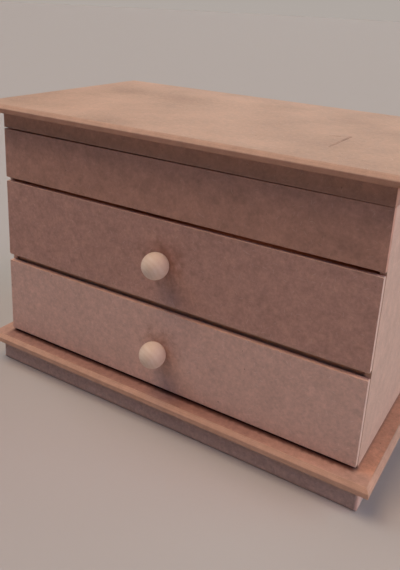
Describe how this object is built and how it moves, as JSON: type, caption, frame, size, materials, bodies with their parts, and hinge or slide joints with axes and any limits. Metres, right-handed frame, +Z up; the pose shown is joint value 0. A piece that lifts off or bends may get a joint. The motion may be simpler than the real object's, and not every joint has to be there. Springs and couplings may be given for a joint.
{
  "type": "cosmetic drawer box",
  "caption": "Raw fibreboard cosmetic box on a plinth, with bevelled overhanging plates, a hinged lid over a tray, and drawers with turned ball knobs.",
  "frame": {"origin": "middle of the box's footprint, on the surface that it stands on", "axes": "+X towards the right side seen from the front, +Y towards the back, +Z up; the drawers open towards -Y"},
  "size_m": [0.315, 0.1914, 0.2115],
  "materials": {
    "fibreboard": "raw, unpainted",
    "knob_wood": "raw, sanded smooth",
    "hinge_brass": "satin plated",
    "screw_steel": "zinc plated"
  },
  "bodies": {
    "case": {"base_plate": "fibreboard", "plinth_front": "fibreboard", "plinth_back": "fibreboard", "plinth_left": "fibreboard", "plinth_right": "fibreboard", "side_panel_left": "fibreboard", "side_panel_right": "fibreboard", "back_panel": "fibreboard", "upper_front_panel": "fibreboard", "tray_floor": "fibreboard", "drawer_shelf": "fibreboard", "hinge_left_case_leaf": "hinge_brass", "hinge_right_case_leaf": "hinge_brass", "hinge_left_pin": "hinge_brass", "hinge_right_pin": "hinge_brass", "hinge_screws_case": "hinge_brass"},
    "lid": {"lid_plate": "fibreboard", "lid_skirt_front": "fibreboard", "lid_skirt_back": "fibreboard", "lid_skirt_left": "fibreboard", "lid_skirt_right": "fibreboard", "hinge_left_lid_leaf": "hinge_brass", "hinge_right_lid_leaf": "hinge_brass", "hinge_screws_lid": "hinge_brass"},
    "upper_drawer": {"upper_drawer_front": "fibreboard", "upper_drawer_left_side": "fibreboard", "upper_drawer_right_side": "fibreboard", "upper_drawer_back": "fibreboard", "upper_drawer_bottom": "fibreboard", "upper_drawer_knob": "knob_wood", "upper_drawer_knob_screw": "screw_steel"},
    "lower_drawer": {"lower_drawer_front": "fibreboard", "lower_drawer_left_side": "fibreboard", "lower_drawer_right_side": "fibreboard", "lower_drawer_back": "fibreboard", "lower_drawer_bottom": "fibreboard", "lower_drawer_knob": "knob_wood", "lower_drawer_knob_screw": "screw_steel"}
  },
  "joints": [
    {"name": "lid_hinge", "type": "hinge", "parent": "case", "child": "lid", "pos_m": [0, 0.08503, 0.19145], "axis": [-1, 0, 0], "range_deg": [0, 147]},
    {"name": "upper_drawer_slide", "type": "slide", "parent": "case", "child": "upper_drawer", "axis": [0, -1, 0], "range_m": [0, 0.12]},
    {"name": "lower_drawer_slide", "type": "slide", "parent": "case", "child": "lower_drawer", "axis": [0, -1, 0], "range_m": [0, 0.12]}
  ]
}
